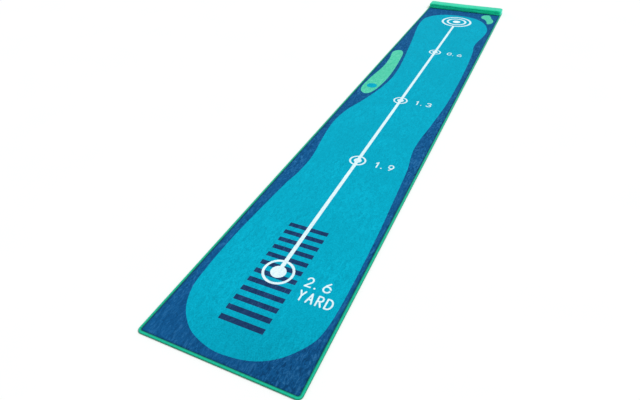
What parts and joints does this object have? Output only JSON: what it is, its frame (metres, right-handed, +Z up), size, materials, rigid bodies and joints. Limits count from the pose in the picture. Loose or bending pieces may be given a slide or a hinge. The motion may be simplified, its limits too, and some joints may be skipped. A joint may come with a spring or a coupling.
{
  "type": "practice putting mat",
  "caption": "Long roll-out putting mat with printed pile cloth, rubber backing, overlocked edge and a lift-off foam bumper across its far end.",
  "frame": {"origin": "on the floor under the middle of the mat", "axes": "+Y along the mat from the putting end to the bumper, +X to the putter's right, +Z up"},
  "size_m": [0.478, 3.01, 0.033],
  "materials": {
    "printed_pile_cloth": "short printed pile",
    "rubber_backing": "matte",
    "overlock_yarn": "polyester overlock yarn",
    "loop_tape": "brushed nylon loops",
    "bumper_foam": "open-cell foam",
    "bumper_cloth": "short-pile velvet",
    "hook_tape": "woven nylon hooks"
  },
  "bodies": {
    "mat": {"printed_pile_cloth": "printed_pile_cloth", "rubber_backing": "rubber_backing", "edge_overlock_near": "overlock_yarn", "edge_overlock_right": "overlock_yarn", "edge_overlock_far": "overlock_yarn", "edge_overlock_left": "overlock_yarn", "loop_tape_front": "loop_tape", "loop_tape_rear": "loop_tape"},
    "bumper": {"bumper_foam_core": "bumper_foam", "bumper_top_panel": "bumper_cloth", "bumper_side_band": "bumper_cloth", "bumper_base_panel": "bumper_cloth", "hook_tape_front": "hook_tape", "hook_tape_rear": "hook_tape"}
  },
  "joints": [
    {"name": "bumper_lift", "type": "slide", "parent": "mat", "child": "bumper", "axis": [0, 0, 1], "range_m": [0, 0.06]}
  ]
}
